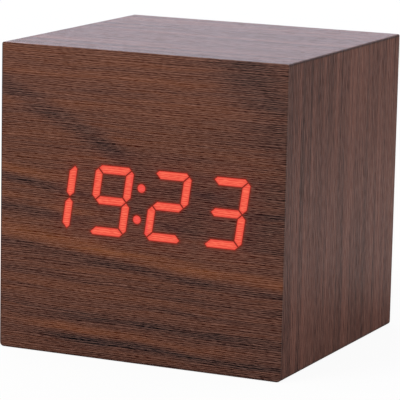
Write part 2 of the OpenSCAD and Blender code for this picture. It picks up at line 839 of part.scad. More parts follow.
// A contact on the end wall at side sx: a plate over its cells, with a spring where a cell's flat end lies
module battery_contact(sx, cells) {
    last = cells[len(cells) - 1];
    color("#c7cacd") translate([sx * contact_x, cell_y, 0]) mirror([sx > 0 ? 1 : 0, 0, 0]) {
        translate([-contact_t, -contact_side / 2, cell_z[last] - contact_side / 2])
            cube([contact_t, contact_side, cell_z[cells[0]] - cell_z[last] + contact_side]);
        for (i = cells) if (cell_way[i] == -sx) translate([0, 0, cell_z[i]]) contact_spring();
        for (t = tails) if (t[0] == sx && t[1] == last && len(cells) == 1)
            translate([-contact_t, bay_back_y - tail_l - cell_y, cell_z[last] - tail_w / 2])
                cube([contact_t, cell_y - bay_back_y + tail_l, tail_w]);
    }
}

module positive_contact() {
    battery_contact(1, [0]);
}

module left_link_contact() {
    battery_contact(-1, [0, 1]);
}

module right_link_contact() {
    battery_contact(1, [1, 2]);
}

module negative_contact() {
    battery_contact(-1, [2]);
}

// Buttons: a dished cap with a flange behind the cover, on the plunger of a switch
module button_cap(i) {
    r = button_d / 2;
    reach = cover_y + button_proud - cap_back_y;
    dish_r = (pow(r - cap_edge_cut, 2) + pow(cap_dish, 2)) / (2 * cap_dish);
    color("#2a2a2d") translate([button_x[i], cap_back_y, button_z]) rotate([-90, 0, 0]) difference() {
        rotate_extrude() polygon([[0, 0], [flange_d / 2, 0], [flange_d / 2, flange_t], [r, flange_t],
            [r, reach - cap_edge_cut], [r - cap_edge_cut, reach], [0, reach]]);
        translate([0, 0, reach - cap_dish + dish_r]) sphere(dish_r);
    }
}

module set_button() {
    button_cap(0);
}

module up_button() {
    button_cap(1);
}

module down_button() {
    button_cap(2);
}

module switch_plunger(i) {
    color("#d8d3c8") translate([button_x[i], 0, button_z])
        rod_y(stem_d, panel_y + switch_base_t + stem_room, cap_back_y);
}

module set_plunger() {
    switch_plunger(0);
}

module up_plunger() {
    switch_plunger(1);
}

module down_plunger() {
    switch_plunger(2);
}

module switch_housings() {
    color("#303236") for (x = button_x) translate([x, 0, button_z]) difference() {
        block_y([switch_side, switch_side], panel_y, panel_y + switch_t);
        rod_y(stem_d + 2 * stem_gap, panel_y + switch_base_t, panel_y + switch_t + over);
    }
}

module button_board() {
    notch = jack_w + 2 * jack_notch_gap;
    color("#1f5b3a") difference() {
        translate([0, 0, button_z]) block_y([panel_w, panel_h], panel_back_y, panel_y);
        translate([inlet_x - notch / 2, panel_back_y - over, button_z - notch / 2])
            cube([notch, panel_t + 2 * over, panel_h]);
        at_panel_bosses() rod_y(board_screw_d + 2 * hole_gap, panel_back_y - over, panel_y + over);
    }
}

module button_board_screws() {
    color("#b9bcc0") at_panel_bosses() translate([0, panel_back_y, 0]) mirror([0, 1, 0])
        cross_screw(board_screw_d, panel_screw_l, board_screw_head_d, board_screw_head_t);
}

// Power inlet, microphone and temperature bead
module power_jack() {
    color("#18181a") translate([inlet_x, cover_back_y, button_z]) difference() {
        block_y([jack_w, jack_w], -jack_l, 0);
        rod_y(jack_bore_d, -jack_bore_l, over);
    }
}

module power_jack_pin() {
    color("#c9b27a") translate([inlet_x, cover_back_y, button_z])
        rod_y(jack_pin_d, -jack_bore_l, -jack_pin_inset);
}

module microphone() {
    color("#b4b6b8") at_microphone() rod_y(microphone_d, cover_back_y - microphone_t, cover_back_y);
}

module thermistor() {
    color("#8a5a2a") translate([thermistor_x, panel_back_y, button_z]) {
        rod_y(thermistor_d / 2, -thermistor_l, 0);
        translate([0, -thermistor_l, 0]) sphere(d = thermistor_d);
    }
}

// Wiring inside the box
module lead(route, side_way) {
    path = smooth(route, lead_steps);
    tube_along(path, [for (p = path) side_way], lead_d, lead_sides);
}

module red_lead() {
    color("#b03028") lead(red_route, [0, -1, 1]);
}

module black_lead() {
    color("#202022") lead(black_route, [1, -1, -1]);
}

module microphone_lead() {
    color("#6a6c70") lead(microphone_route, [-1, 0.2, 0.4]);
}

// The outline of a band of the given thickness along a flat path
function band_side(path, offset) = [for (i = [0:len(path) - 1])
    let (t = tangent(path, i)) path[i] + offset * [-t[1], t[0]]];
function backwards(points) = [for (i = [len(points) - 1:-1:0]) points[i]];

module ribbon_cable() {
    path = smooth(ribbon_route, ribbon_steps);
    plug_w = header_size[0] - 2 * header_wall - 2 * plug_gap;
    plug_h = header_size[1] - 2 * header_wall - 2 * plug_gap;
    plug_floor = header_size[2] - plug_t;
    color("#9aa0a8") {
        along_x(header_at[0] - ribbon_w / 2, header_at[0] + ribbon_w / 2)
            polygon(concat(band_side(path, ribbon_t / 2), backwards(band_side(path, -ribbon_t / 2))));
        on_main_board(header_at)
            block_y([plug_w, plug_h], plug_floor + plug_gap, header_size[2] + plug_proud + ribbon_t);
    }
}

front_film();
lit_segments();
front_board();
top_board();
bottom_board();
left_board();
right_board();
corner_blocks();
display_housing();
display_substrate();
display_segments();
led_chips();
display_pins();
main_board();
board_spacers();
board_screws();
clock_chip();
crystal_can();
buzzer();
capacitor();
ribbon_header();
driver_transistors();
segment_resistors();
rear_cover();
cover_screws();
button_board();
button_board_screws();
switch_housings();
set_button();
up_button();
down_button();
set_plunger();
up_plunger();
down_plunger();
power_jack();
power_jack_pin();
microphone();
thermistor();
battery_door();
positive_contact();
negative_contact();
left_link_contact();
right_link_contact();
top_cell();
middle_cell();
bottom_cell();
red_lead();
black_lead();
microphone_lead();
ribbon_cable();
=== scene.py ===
# %% [markdown]
# # A wooden digital alarm clock
# The clock is a small box folded from film-faced board. A red time shines through the film on its front,
# and the buttons and the battery door are at the back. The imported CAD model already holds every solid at
# its true size and place, so this lesson only dresses it: it loads the solids, sets the camera and the
# light, builds the finishes as shader nodes, and adds the few thin pieces that are easier to make here than
# in CAD.

# %% Load the solids
import math

import bmesh
import bpy
import numpy as np
from mathutils import Matrix, Vector
from mathutils.geometry import delaunay_2d_cdt


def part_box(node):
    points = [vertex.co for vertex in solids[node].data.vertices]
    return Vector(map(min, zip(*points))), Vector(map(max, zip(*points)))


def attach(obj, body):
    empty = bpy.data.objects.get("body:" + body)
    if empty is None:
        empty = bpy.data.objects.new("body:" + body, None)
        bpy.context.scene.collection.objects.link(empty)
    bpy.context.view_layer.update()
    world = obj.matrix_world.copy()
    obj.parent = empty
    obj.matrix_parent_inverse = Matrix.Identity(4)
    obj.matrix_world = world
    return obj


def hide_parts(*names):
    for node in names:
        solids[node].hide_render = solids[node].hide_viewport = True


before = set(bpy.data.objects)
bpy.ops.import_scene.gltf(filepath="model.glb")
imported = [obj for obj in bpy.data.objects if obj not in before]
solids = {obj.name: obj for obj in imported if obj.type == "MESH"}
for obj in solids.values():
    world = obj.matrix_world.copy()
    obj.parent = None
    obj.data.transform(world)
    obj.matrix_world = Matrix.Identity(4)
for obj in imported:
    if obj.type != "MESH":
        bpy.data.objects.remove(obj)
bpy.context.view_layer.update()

MM = 0.001
HALF_W, HALF_D, CASE_H = 31.5, 30.0, 63.0

# %% [markdown]
# ## The camera
# A camera can be placed by eye, but the box gives more: its outline in the picture fixes the angle, the
# distance and the lens. The numbers below are that fit, made to the box with its rounded edges. The long
# lens keeps the edges almost parallel, and the picture is rolled a little. The camera's axes are worked out
# and written into its matrix.

# %% Place the camera
AZIMUTH, ELEVATION, ROLL = (math.radians(a) for a in (24.924, 10.292, 1.213))
SIDEWAYS, UPWARDS, DISTANCE, LENS = -0.609, -2.594, 567.1, 244.319
back = Vector((math.sin(AZIMUTH) * math.cos(ELEVATION), -math.cos(AZIMUTH) * math.cos(ELEVATION),
               math.sin(ELEVATION)))
level = Vector((math.cos(AZIMUTH), math.sin(AZIMUTH), 0))
upright = back.cross(level)
right = math.cos(ROLL) * level + math.sin(ROLL) * upright
up = math.cos(ROLL) * upright - math.sin(ROLL) * level
case_middle = Vector((0, 0, CASE_H / 2 * MM))
eye = case_middle + SIDEWAYS * MM * right + UPWARDS * MM * up + DISTANCE * MM * back
camera = bpy.data.objects.new("camera", bpy.data.cameras.new("camera"))
camera.data.sensor_fit = "HORIZONTAL"
camera.data.sensor_width = 36
camera.data.lens = LENS
camera.matrix_world = Matrix.Translation(eye) @ Matrix((right, up, back)).transposed().to_4x4()
bpy.context.scene.collection.objects.link(camera)
bpy.context.scene.camera = camera
print("camera", [round(c, 4) for c in eye], "lens", camera.data.lens)

# %% [markdown]
# ## A short way to write shader nodes
# Finishes here are networks of shader nodes. Written out in full, each node takes several lines, so these
# helpers add a node, set its properties and link or set its inputs in one go. Colours are given as the 0 to
# 255 numbers that an image shows, and turned into the linear values that a renderer works with.


# %% Node helpers
def add(tree, kind, inputs=None, **settings):
    """Add a node; an input is either a number or the socket that feeds it."""
    made = tree.nodes.new(kind)
    for key, setting in settings.items():
        setattr(made, key, setting)
    for key, value in (inputs or {}).items():
        if isinstance(value, bpy.types.NodeSocket):
            tree.links.new(value, made.inputs[key])
        else:
            made.inputs[key].default_value = value
    return made


def calc(tree, operation, *values):
    """One step of arithmetic."""
    return add(tree, "ShaderNodeMath", dict(enumerate(values)), operation=operation).outputs[0]


def rise(tree, value, low, high):
    """0 below low, 1 above high, and a smooth step between; swap low and high for a fall."""
    return add(tree, "ShaderNodeMapRange", {"Value": value, "From Min": low, "From Max": high},
               interpolation_type="SMOOTHSTEP").outputs[0]


def span(tree, value, low, high):
    """Spread a 0 to 1 value between two numbers."""
    return add(tree, "ShaderNodeMapRange", {"Value": value, "To Min": low, "To Max": high}).outputs[0]


def noise(tree, x, y, z=0.0, detail=2.0, rough=0.5):
    """Cloudy noise about 0.5, read at three coordinates that already hold its scale."""
    place = add(tree, "ShaderNodeCombineXYZ", {0: x, 1: y, 2: z}).outputs[0]
    return add(tree, "ShaderNodeTexNoise", {"Vector": place, "Scale": 1.0, "Detail": detail,
                                            "Roughness": rough}).outputs[0]


def rgb(*shown):
    """A linear colour with alpha from the three numbers that an image shows."""
    shares = [s / 255 for s in shown]
    return tuple(c / 12.92 if c <= 0.04045 else ((c + 0.055) / 1.055) ** 2.4 for c in shares) + (1.0,)


def mix(tree, factor, a, b, blend="MIX"):
    """Mix two colours."""
    made = add(tree, "ShaderNodeMix", {0: factor, 6: a, 7: b}, data_type="RGBA", blend_type=blend)
    return made.outputs[2]


def new_group(name, inputs, outputs):
    """An empty node group whose inputs and outputs are numbers or colours."""
    group = bpy.data.node_groups.new(name, "ShaderNodeTree")
    for label, value in inputs.items():
        kind = "NodeSocketColor" if isinstance(value, tuple) else "NodeSocketFloat"
        group.interface.new_socket(name=label, in_out="INPUT", socket_type=kind).default_value = value
    for label in outputs:
        kind = "NodeSocketColor" if label == "Color" else "NodeSocketFloat"
        group.interface.new_socket(name=label, in_out="OUTPUT", socket_type=kind)
    return group, group.nodes.new("NodeGroupInput").outputs, group.nodes.new("NodeGroupOutput").inputs


def use(tree, group, **inputs):
    """Place a group in a tree and return its outputs."""
    return add(tree, "ShaderNodeGroup", {key.replace("_", " "): v for key, v in inputs.items()},
               node_tree=group).outputs


def finish_material(name, **constants):
    """A new material with one Principled shader; constants go straight onto its sockets."""
    material = bpy.data.materials.new(name)
    material.use_nodes = True
    shader = material.node_tree.nodes["Principled BSDF"]
    for key, value in constants.items():
        shader.inputs[key.replace("_", " ")].default_value = value
    return material.node_tree, shader, material


def bump(tree, shader, height, depth):
    """Turn a height from 0 to 1 into relief of the given depth in millimetres."""
    made = add(tree, "ShaderNodeBump", {"Height": height, "Distance": depth * MM, "Strength": 1.0})
    tree.links.new(made.outputs[0], shader.inputs["Normal"])


def paint(node_names, material):
    """Give CAD solids a finish without touching their meshes."""
    for name in node_names:
        for slot in solids[name].material_slots:
            slot.material = material


print("node helpers ready")

# %% [markdown]
# ## Where a point is, in millimetres
# Texture coordinates can come from an unwrapped UV map, but flat boards and moulded plastic need none.
# Every object here sits at the origin, so its object coordinates are its true place. One small group turns
# them into millimetres, and each finish then states its grain in real sizes.

# %% Group: place in millimetres
place_group, _, place_out = new_group("place_in_mm", {}, ["X", "Y", "Z"])
place_mm = add(place_group, "ShaderNodeVectorMath",
               {0: add(place_group, "ShaderNodeTexCoord").outputs["Object"], 1: (1 / MM,) * 3},
               operation="MULTIPLY").outputs[0]
for axis, socket in enumerate(add(place_group, "ShaderNodeSeparateXYZ", {0: place_mm}).outputs):
    place_group.links.new(socket, place_out[axis])
print("group", place_group.name)

# %% [markdown]
# ## Walnut: three shared effects
# The box is faced with a printed and embossed film, so its grain has three scales. Broad dark and reddish
# bands give the board its figure, thin growth lines run along them, and short pores are pressed into the
# surface. A photo texture would hold all three but repeats and can't be changed, so the effects are node
# groups: a band with its own course, the wandering lines and pores, and the tones that they are shown in.
# Light and dark wood differ in hue, so the figure picks from a row of tones. The flecks are nearly grey, so
# they are added on top: darker in the pores, and paler on the raised grain, where the pale part is a painted
# highlight of the relief.

# %% Group: one band of figure
band_group, band_in, band_out = new_group(
    "figure_band", {"Along": 0.0, "Across": 0.0, "Centre": 0.0, "Slope": 0.0, "Bend": 0.0, "Width": 1.0,
                    "Start": -40.0, "End": 40.0, "Fade": 6.0}, ["Mask"])
course = calc(band_group, "MULTIPLY_ADD", band_in["Along"],
              calc(band_group, "MULTIPLY_ADD", band_in["Along"], band_in["Bend"], band_in["Slope"]),
              band_in["Centre"])
off_course = calc(band_group, "ABSOLUTE", calc(band_group, "SUBTRACT", band_in["Across"], course))
body = rise(band_group, off_course, band_in["Width"], 0.0)
comes = rise(band_group, band_in["Along"], calc(band_group, "SUBTRACT", band_in["Start"], band_in["Fade"]),
             calc(band_group, "ADD", band_in["Start"], band_in["Fade"]))
goes = rise(band_group, band_in["Along"], calc(band_group, "ADD", band_in["End"], band_in["Fade"]),
            calc(band_group, "SUBTRACT", band_in["End"], band_in["Fade"]))
lasts = calc(band_group, "MULTIPLY", comes, goes)
band_group.links.new(calc(band_group, "MULTIPLY", body, lasts), band_out["Mask"])
print("group", band_group.name)

# %% Group: wandering lines, pores and flecks
PORE_STEP = 0.4
grain_group, grain_in, grain_out = new_group(
    "walnut_grain", {"Along": 0.0, "Across": 0.0, "Wander": 1.6}, ["Course", "Lines", "Emboss"])


def stretched(along_scale, across_scale, seed, detail, across=grain_in["Across"]):
    """Noise drawn out along the grain, with scales per millimetre."""
    return noise(grain_group, calc(grain_group, "MULTIPLY", grain_in["Along"], along_scale),
                 calc(grain_group, "MULTIPLY", across, across_scale), seed, detail)


drift = calc(grain_group, "SUBTRACT", stretched(0.045, 0.09, 2.3, 3.0), 0.5)
wandered = calc(grain_group, "MULTIPLY_ADD", drift, calc(grain_group, "MULTIPLY", grain_in["Wander"], 2.0),
                grain_in["Across"])
broad = stretched(0.02, 0.55, 7.7, 3.0, wandered)
thin = stretched(0.05, 2.4, 4.1, 2.0, wandered)
lines = calc(grain_group, "ADD", calc(grain_group, "MULTIPLY", broad, 0.65),
             calc(grain_group, "MULTIPLY", thin, 0.35))
sway = stretched(0.05, 0.9, 11.9, 1.0)
turns = calc(grain_group, "MULTIPLY_ADD", grain_in["Across"], 2 * math.pi / PORE_STEP,
             calc(grain_group, "MULTIPLY", sway, 12.0))
broken = rise(grain_group, stretched(1.0, 2.4, 23.4, 0.0), 0.22, 0.6)
rows_of_pores = calc(grain_group, "MULTIPLY", calc(grain_group, "SINE", turns),
                     calc(grain_group, "MULTIPLY", broken, 0.36))
flecks = calc(grain_group, "SUBTRACT", stretched(1.0, 11.0, 31.7, 0.0), 0.5)
emboss = calc(grain_group, "ADD", calc(grain_group, "MULTIPLY_ADD", flecks, 0.95, rows_of_pores), 0.5)
for label, socket in {"Course": wandered, "Lines": lines, "Emboss": emboss}.items():
    grain_group.links.new(socket, grain_out[label])
print("group", grain_group.name)

# %% Group: walnut tones
WALNUT = [(0.0, rgb(45, 36, 37)), (0.25, rgb(64, 45, 41)), (0.5, rgb(88, 57, 47)), (0.75, rgb(110, 67, 48)),
          (1.0, rgb(131, 80, 51))]
# the fleck colour follows the relief: darker in the pores, paler on the raised grain as a painted highlight
FLECK_AND_GLINT = (0.165, 0.088, 0.065)  # what a full fleck adds, in linear values
PLAIN = rgb(104, 68, 58)[:3]
PLAIN_SHADE = 0.0657  # the brightness of a tone that PLAIN stands for unchanged
tone_group, tone_in, tone_out = new_group(
    "walnut_tones", {"Figure": 0.5, "Fleck": 0.0, "Plain": 0.0}, ["Color"])
tones = add(tone_group, "ShaderNodeValToRGB", {0: tone_in["Figure"]})
tones.color_ramp.elements[0].position, tones.color_ramp.elements[0].color = WALNUT[0]
tones.color_ramp.elements[1].position, tones.color_ramp.elements[1].color = WALNUT[-1]
for position, colour in WALNUT[1:-1]:
    tones.color_ramp.elements.new(position).color = colour
grey = add(tone_group, "ShaderNodeRGBToBW", {0: tones.outputs[0]}).outputs[0]
shade = calc(tone_group, "DIVIDE", grey, PLAIN_SHADE)
plain = add(tone_group, "ShaderNodeVectorMath", {0: PLAIN, "Scale": shade}, operation="SCALE").outputs[0]
calmed = mix(tone_group, tone_in["Plain"], tones.outputs[0], plain)
flecked_and_glinting = add(tone_group, "ShaderNodeVectorMath", {0: FLECK_AND_GLINT, 1: tone_in["Fleck"], 2: calmed},
              operation="MULTIPLY_ADD").outputs[0]
not_below_black = add(tone_group, "ShaderNodeVectorMath", {0: flecked_and_glinting, 1: (0.0, 0.0, 0.0)},
                      operation="MAXIMUM").outputs[0]
tone_group.links.new(not_below_black, tone_out["Color"])
print("group", tone_group.name, "tones:", len(WALNUT))

# %% [markdown]
# ## The front film
# On the real clock an unbroken film covers the front, and the lit segments shine through it. In CAD the
# segments are inlays in cut-outs of the film. The film could keep its CAD mesh, but the light also spreads
# a little into the film round each segment, and that soft rim needs points close to the segments. So the
# film is made again here: the outlines are read from the CAD inlays, and a Delaunay triangulation fills the
# front with more points near the light. Its faces between the outlines become the film, and those inside
# them become the strokes, so the two meet without a gap. Each point then stores how near the edge of the
# light it is: once for a narrow rim, and once for the faint red halo that the film shows between the digits.


# %% Read the outlines of the lit segments
def front_loops(solid, y):
    """The closed outlines of a solid's faces in the plane at y, as arrays of X and Z in millimetres."""
    mesh = solid.data
    spots = {}
    for vertex in mesh.vertices:
        spots[vertex.index] = tuple(round(c / MM, 4) for c in vertex.co)
    uses = {}
    for face in mesh.polygons:
        if all(abs(spots[v][1] - y) < 1e-3 for v in face.vertices):
            ring = [(spots[v][0], spots[v][2]) for v in face.vertices]
            for a, b in zip(ring, ring[1:] + ring[:1]):
                uses[(a, b)] = uses.get((a, b), 0) + 1
    follow = {a: b for (a, b) in uses if (b, a) not in uses}
    loops = []
    while follow:
        start, loop = next(iter(follow)), []
        spot = start
        while spot in follow:
            loop.append(spot)
            spot = follow.pop(spot)
        loops.append(np.array(loop))
    return loops


film_low, film_high = (np.array(corner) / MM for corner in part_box("front_film"))
FRONT_Y = film_low[1]
lit_loops = front_loops(solids["lit_segments"], FRONT_Y)
print("lit outlines:", len(lit_loops), "with", sum(len(loop) for loop in lit_loops), "points")


# %% How near a point is to the light
def edge_distance(points, loops):
    """The distance from each point to the nearest outline."""
    best = np.full(len(points), 1e9)
    for loop in loops:
        for a, b in zip(loop, np.roll(loop, -1, axis=0)):
            step = b - a
            share = np.clip((points - a) @ step / max(step @ step, 1e-12), 0, 1)
            best = np.minimum(best, np.linalg.norm(points - a - share[:, None] * step, axis=1))
    return best


def inside(points, loops):
    """Whether each point lies inside one of the outlines."""
    found = np.zeros(len(points), bool)
    for loop in loops:
        crossings = np.zeros(len(points), int)
        for a, b in zip(loop, np.roll(loop, -1, axis=0)):
            spans = (a[1] > points[:, 1]) != (b[1] > points[:, 1])
            rise_z = b[1] - a[1] if b[1] != a[1] else 1e-12
            crossings += spans & (points[:, 0] < a[0] + (points[:, 1] - a[1]) / rise_z * (b[0] - a[0]))
        found |= crossings % 2 == 1
    return found


GLOW_REACH, GLOW_STEP, GRID_MARGIN, EDGE_CLEARANCE = 1.0, 0.22, 1.2, 0.09
lit_low, lit_high = np.concatenate(lit_loops).min(axis=0), np.concatenate(lit_loops).max(axis=0)
steps = (np.arange(lit_low[i] - GRID_MARGIN, lit_high[i] + GRID_MARGIN, GLOW_STEP) for i in (0, 1))
grid = np.stack(np.meshgrid(*steps), -1).reshape(-1, 2)
near = edge_distance(grid, lit_loops)
glow_points = grid[(near > EDGE_CLEARANCE) & ((near < GLOW_REACH) | inside(grid, lit_loops))]
print("points near the light:", len(glow_points))

# %% Mesh of the front film
EASE, TOP_R, BOTTOM_R, CORNER_STEPS = 0.25, 0.4, 0.9, 5


def film_outline(inset):
    """The film's outline, drawn in by inset, as X and Z in millimetres."""
    half_w, low_z, high_z = film_high[0] - inset, film_low[2] + inset, film_high[2] - inset
    outline = []
    for sx, z, sz, radius, turn in ((1, high_z, 1, TOP_R, 0), (-1, high_z, 1, TOP_R, 90),
                                    (-1, low_z, -1, BOTTOM_R, 180), (1, low_z, -1, BOTTOM_R, 270)):
        r = max(radius - inset, 0.06)
        for i in range(CORNER_STEPS + 1):
            a = math.radians(turn + 90 * i / CORNER_STEPS)
            outline.append((sx * (half_w - r) + r * math.cos(a), z - sz * r + r * math.sin(a)))
    return np.array(outline)


rows = [(film_high[1], 0.0)] + [(FRONT_Y + EASE * (1 - math.sin(t)), EASE * (1 - math.cos(t)))
                                for t in np.linspace(0, math.pi / 2, 5)]
coarse = np.stack(np.meshgrid(np.arange(-29.5, 30, 3.0), np.arange(1.7, 62, 3.0)), -1).reshape(-1, 2)
coarse = coarse[(edge_distance(coarse, lit_loops) > GLOW_REACH) & ~inside(coarse, lit_loops)]


def fill(outline, extra_points):
    """Triangulate a plane inside an outline; returns its points, the unlit faces and the lit ones."""
    points, edges = [], []
    for loop in [outline] + lit_loops:
        first = len(points)
        points += map(tuple, loop)
        edges += [(first + i, first + (i + 1) % len(loop)) for i in range(len(loop))]
    points += [tuple(p) for p in extra_points]
    spots, _, faces, *_ = delaunay_2d_cdt([Vector(p) for p in points], edges, [], 0, 1e-5)
    spots = np.array([tuple(p) for p in spots])
    lit = inside(np.array([spots[list(face)].mean(axis=0) for face in faces]), lit_loops)
    return spots, [f for f, on in zip(faces, lit) if not on], [f for f, on in zip(faces, lit) if on]


def plane_faces(bm, points, faces, y):
    """Add faces of the plane at y to a mesh."""
    used = {i: bm.verts.new((points[i][0] * MM, y * MM, points[i][1] * MM)) for face in faces for i in face}
    for face in faces:
        bm.faces.new([used[i] for i in face])


def wall(bm, ring, following):
    """Join two rings of points with a strip of faces."""
    for i in range(len(ring)):
        j = (i + 1) % len(ring)
        bm.faces.new((ring[i], ring[j], following[j], following[i]))


def ring_at(bm, outline, y):
    """Add the points of an outline to a mesh, in the plane at y."""
    return [bm.verts.new((x * MM, y * MM, z * MM)) for x, z in outline]


def piece_from(bm, name):
    """Weld a mesh, turn its faces outwards and put it in the scene as one object."""
    bmesh.ops.remove_doubles(bm, verts=bm.verts, dist=2e-7)
    bmesh.ops.recalc_face_normals(bm, faces=bm.faces)
    mesh = bpy.data.meshes.new(name)
    bm.to_mesh(mesh)
    bm.free()
    piece = bpy.data.objects.new(name, mesh)
    bpy.context.scene.collection.objects.link(piece)
    return piece


FILM_BACK_Y = film_high[1]
extra = np.concatenate([film_outline(EASE + 0.2), glow_points, coarse])
points, film_faces, lit_faces = fill(film_outline(EASE), extra)
back_points, back_film, back_lit = fill(film_outline(0.0), np.empty((0, 2)))
film, strokes = bmesh.new(), bmesh.new()
plane_faces(film, points, film_faces, FRONT_Y)
plane_faces(film, back_points, back_film, FILM_BACK_Y)
plane_faces(strokes, points, lit_faces, FRONT_Y)
plane_faces(strokes, back_points, back_lit, FILM_BACK_Y)
rings = [ring_at(film, film_outline(inset), y) for y, inset in rows]
for ring, following in zip(rings, rings[1:]):
    wall(film, ring, following)
for bm in (film, strokes):
    for loop in lit_loops:
        wall(bm, ring_at(bm, loop, FRONT_Y), ring_at(bm, loop, FILM_BACK_Y))
front_face, lit_strokes = piece_from(film, "front_face"), piece_from(strokes, "lit_strokes")
front_mesh = front_face.data
front_mesh.polygons.foreach_set("use_smooth", [True] * len(front_mesh.polygons))
print("front film:", len(front_mesh.polygons), "faces, lit strokes:", len(lit_strokes.data.polygons))

# %% Store the glow on both pieces
GLOW_FADE, HALO_FADE, EDGE_FADE = 0.24, 1.8, 0.2


def store_near(piece, name, reach, power):
    """Store on each point how near it is to the edge of the light, from 1 on the edge to 0 well away."""
    spots = np.zeros(len(piece.data.vertices) * 3)
    piece.data.vertices.foreach_get("co", spots)
    spots = spots.reshape(-1, 3) / MM
    share = np.exp(-(edge_distance(spots[:, [0, 2]], lit_loops) / reach) ** power)
    share *= np.abs(spots[:, 1] - FRONT_Y) < 1e-3
    piece.data.attributes.new(name, "FLOAT", "POINT").data.foreach_set("value", share.astype(np.float32))
    print(piece.name, name, "from", round(float(share.min()), 3), "to", round(float(share.max()), 3))


store_near(front_face, "glow", GLOW_FADE, 1.5)
store_near(front_face, "halo", HALO_FADE, 1.0)
store_near(lit_strokes, "edge", EDGE_FADE, 1.5)
for piece, node, slot in ((front_face, "front_film", "walnut_film"),
                          (lit_strokes, "lit_segments", "lit_segment")):
    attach(piece, "case")
    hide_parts(node)

# %% [markdown]
# ## The film's finish
# The figure of this board is what makes it look like one piece of walnut: a dark streak that falls from the
# left edge towards the digits, a warm band under them with a dark one below it, and broken streaks lower
# down. Each is one band group with its own course in millimetres. Their strengths are added to the growth
# lines, and the sum picks a tone. The finish is satin, and the pores are pressed in as relief, so they
# catch the light. A painted sheen makes the board a little paler towards the top, and painted shade darkens
# the film along its left and lower edges. Its cut edge at the sides is slightly paler.

# %% Front film material
FRONT_BANDS = [  # strength, centre, slope, bend, width, start, end, fade
    (-0.22, 40.2, -0.45, 0.0, 3.6, -40, -3, 6),
    (-0.2, 85.5, -1.1, 0.0, 14.0, 13, 40, 7),
    (0.05, 56.0, -0.1, 0.0, 14.0, -40, 14, 10),
    (0.14, 34.6, -0.12, 0.0, 1.9, -40, -19, 5),
    (-0.18, 32.0, -0.13, 0.0, 1.5, -40, -8, 6),
    (0.11, 28.6, -0.12, 0.0, 1.6, -40, -14, 6),
    (-0.22, 27.0, -0.08, 0.0, 1.5, -40, -12, 5),
    (-0.17, 33.2, -0.05, 0.0, 12.0, -8, 40, 7),
    (-0.1, 37.9, -0.17, 0.0, 1.4, 12, 40, 6),
    (-0.1, 29.0, -0.1, 0.0, 1.6, 2, 40, 6),
    (0.21, 21.8, -0.107, 0.0006, 2.4, -40, 40, 6),
    (-0.2, 19.2, -0.0955, 0.0005, 1.7, -40, 40, 6),
    (-0.09, 14.8, -0.06, 0.0003, 1.3, -40, 40, 6),
    (-0.08, 11.8, -0.05, 0.0003, 1.1, -40, 24, 6),
    (-0.18, 8.2, -0.055, 0.0, 1.7, -40, 40, 6),
    (0.23, 5.1, -0.03, 0.0, 1.9, -23, 22, 6),
    (-0.2, 3.2, -0.024, 0.0, 1.2, -22, 40, 6),
    (-0.11, 0.0, 0.0, 0.0, 14.0, -20, 40, 8),
    (-0.06, 13.0, 0.0, 0.0, 12.0, 8, 40, 8),
]


def sum_of_bands(tree, bands, along, across):
    """Add up bands of figure by strength, and let them fade here and there along their course."""
    total = 0.0
    for strength, centre, slope, bend, width, begin, end, fade in bands:
        mask = use(tree, band_group, Along=along, Across=across, Centre=centre, Slope=slope, Bend=bend,
                   Width=width, Start=begin, End=end, Fade=fade)["Mask"]
        total = calc(tree, "MULTIPLY_ADD", mask, strength, total)
    patchy = noise(tree, calc(tree, "MULTIPLY", along, 0.09), calc(tree, "MULTIPLY", across, 0.35), 5.3, 1.0)
    return calc(tree, "MULTIPLY", total, span(tree, rise(tree, patchy, 0.3, 0.7), 0.7, 1.25))


def walnut(tree, shader, along, across, bands, middle, contrast, relief,
           fineness=1.0, length=1.0, depth=0.03, wander=1.6, plain=0.0):
    """Wire the walnut groups to a shader and return the finished colour."""
    scaled = calc(tree, "MULTIPLY", across, fineness)
    grain = use(tree, grain_group, Along=calc(tree, "DIVIDE", along, length), Across=scaled, Wander=wander)
    lined = calc(tree, "MULTIPLY_ADD", grain["Lines"], contrast, middle - contrast / 2)
    course = calc(tree, "DIVIDE", grain["Course"], fineness)
    figure = calc(tree, "ADD", lined, sum_of_bands(tree, bands, along, course))
    tree.links.new(span(tree, grain["Emboss"], 0.42, 0.3), shader.inputs["Roughness"])
    bump(tree, shader, grain["Emboss"], depth)
    # colour that follows the relief: darker in the pores, paler on the raised grain as a painted highlight
    fleck_and_glint = calc(tree, "MULTIPLY", calc(tree, "SUBTRACT", grain["Emboss"], 0.5), relief)
    return use(tree, tone_group, Figure=figure, Fleck=fleck_and_glint, Plain=plain)["Color"]


tree, shader, walnut_film = finish_material("walnut_film", IOR=1.13)
place = use(tree, place_group)
colour = walnut(tree, shader, place["X"], place["Z"], FRONT_BANDS, middle=0.56, contrast=0.7, relief=1.15)
facing = add(tree, "ShaderNodeSeparateXYZ", {0: add(tree, "ShaderNodeNewGeometry").outputs["Normal"]}).outputs
# painted sheen: higher up, the board is mixed a little towards a pale grey-brown
painted_sheen_towards_top = calc(tree, "MULTIPLY", rise(tree, place["Z"], 38.0, 62.0), 0.05)
colour = mix(tree, painted_sheen_towards_top, colour, rgb(150, 115, 105))
cut_edge = rise(tree, calc(tree, "ABSOLUTE", facing["X"]), 0.6, 0.9)
colour = mix(tree, calc(tree, "MULTIPLY", cut_edge, 0.1), colour, rgb(128, 104, 94))
